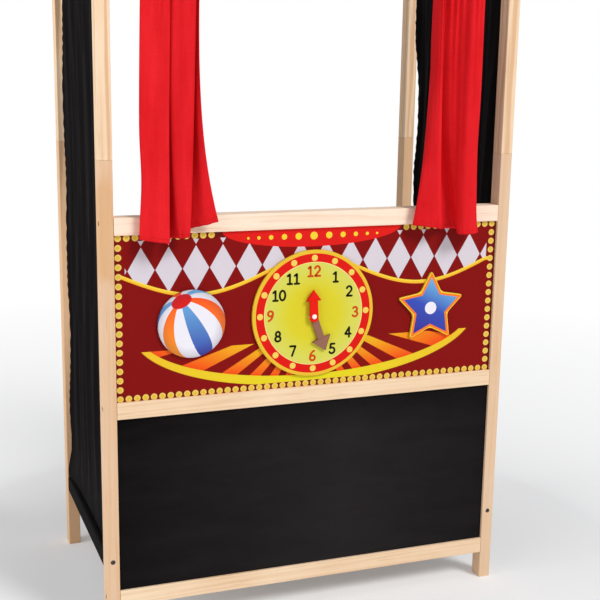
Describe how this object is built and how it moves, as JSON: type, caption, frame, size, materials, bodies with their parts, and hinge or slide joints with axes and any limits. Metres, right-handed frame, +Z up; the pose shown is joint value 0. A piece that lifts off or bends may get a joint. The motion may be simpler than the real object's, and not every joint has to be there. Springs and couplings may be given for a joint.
{
  "type": "puppet theater stand",
  "caption": "Free-standing wooden puppet theater with stage opening, sliding red curtains, printed panel with a play clock, chalkboard below and black cloth sides.",
  "frame": {"origin": "on the floor, under the middle of the part's overall box, curtains and rod brackets included", "axes": "+Z up; -Y towards the audience; +X to the audience's right"},
  "size_m": [0.72, 0.453, 1.256],
  "materials": {
    "pine_post": "smooth unvarnished-looking pine, satin",
    "pine_rail": "smooth unvarnished-looking pine, satin",
    "pine_rod": "smooth sanded dowel and blocks",
    "dark_screw": "dark oxide",
    "chalkboard_black": "matte chalkboard paint on board",
    "printed_board": "satin print on board",
    "clock_face": "satin print on board",
    "white_plastic": "gloss",
    "steel_cap": "plain push-on cap",
    "red_paint": "satin paint on board",
    "brown_paint": "satin paint on board",
    "ball_print": "satin print on board",
    "star_print": "satin print on board",
    "red_cloth": "plain woven cotton",
    "black_cloth": "plain woven cotton"
  },
  "bodies": {
    "frame": {"front_post_left_lower": "pine_post", "front_post_left_upper": "pine_post", "front_post_right_lower": "pine_post", "front_post_right_upper": "pine_post", "rear_post_left_lower": "pine_post", "rear_post_left_upper": "pine_post", "rear_post_right_lower": "pine_post", "rear_post_right_upper": "pine_post", "bottom_rail": "pine_rail", "lower_rail": "pine_rail", "sill_rail": "pine_rail", "header_rail": "pine_rail", "top_rail": "pine_rail", "rear_top_rail": "pine_rail", "side_rail_left_top": "pine_rail", "side_rail_left_bottom": "pine_rail", "side_rail_right_top": "pine_rail", "side_rail_right_bottom": "pine_rail", "screw_bottom_rail_left": "dark_screw", "screw_bottom_rail_right": "dark_screw", "screw_lower_rail_left": "dark_screw", "screw_lower_rail_right": "dark_screw", "screw_sill_rail_left": "dark_screw", "screw_sill_rail_right": "dark_screw", "screw_header_rail_left": "dark_screw", "screw_header_rail_right": "dark_screw", "screw_top_rail_left": "dark_screw", "screw_top_rail_right": "dark_screw", "screw_rear_top_rail_left": "dark_screw", "screw_rear_top_rail_right": "dark_screw", "screw_side_top_rail_left_front": "dark_screw", "screw_side_top_rail_left_rear": "dark_screw", "screw_side_top_rail_right_front": "dark_screw", "screw_side_top_rail_right_rear": "dark_screw", "screw_side_bottom_rail_left_front": "dark_screw", "screw_side_bottom_rail_left_rear": "dark_screw", "screw_side_bottom_rail_right_front": "dark_screw", "screw_side_bottom_rail_right_rear": "dark_screw", "screw_rod_bracket_left": "dark_screw", "screw_rod_bracket_right": "dark_screw", "chalkboard": "chalkboard_black", "print_panel": "printed_board", "header_panel": "printed_board", "clock_disc": "clock_face", "clock_spacer": "white_plastic", "clock_pin": "white_plastic", "clock_pin_cap": "steel_cap", "ball_cutout": "ball_print", "star_cutout": "star_print", "curtain_rod": "pine_rod", "rod_bracket_left": "pine_rod", "rod_bracket_right": "pine_rod", "side_cloth_left": "black_cloth", "side_cloth_right": "black_cloth"},
    "hour_hand": {"hour_hand": "red_paint"},
    "minute_hand": {"minute_hand": "brown_paint"},
    "left_curtain": {"left_curtain": "red_cloth"},
    "right_curtain": {"right_curtain": "red_cloth"}
  },
  "joints": [
    {"name": "hour_hand_turn", "type": "hinge", "parent": "frame", "child": "hour_hand", "pos_m": [-0.006, -0.1885, 0.5246], "axis": [0, 1, 0], "continuous": true},
    {"name": "minute_hand_turn", "type": "hinge", "parent": "frame", "child": "minute_hand", "pos_m": [-0.006, -0.1885, 0.5246], "axis": [0, 1, 0], "continuous": true},
    {"name": "left_curtain_slide", "type": "slide", "parent": "frame", "child": "left_curtain", "axis": [1, 0, 0], "range_m": [0, 0.172]},
    {"name": "right_curtain_slide", "type": "slide", "parent": "frame", "child": "right_curtain", "axis": [-1, 0, 0], "range_m": [0, 0.155]}
  ]
}
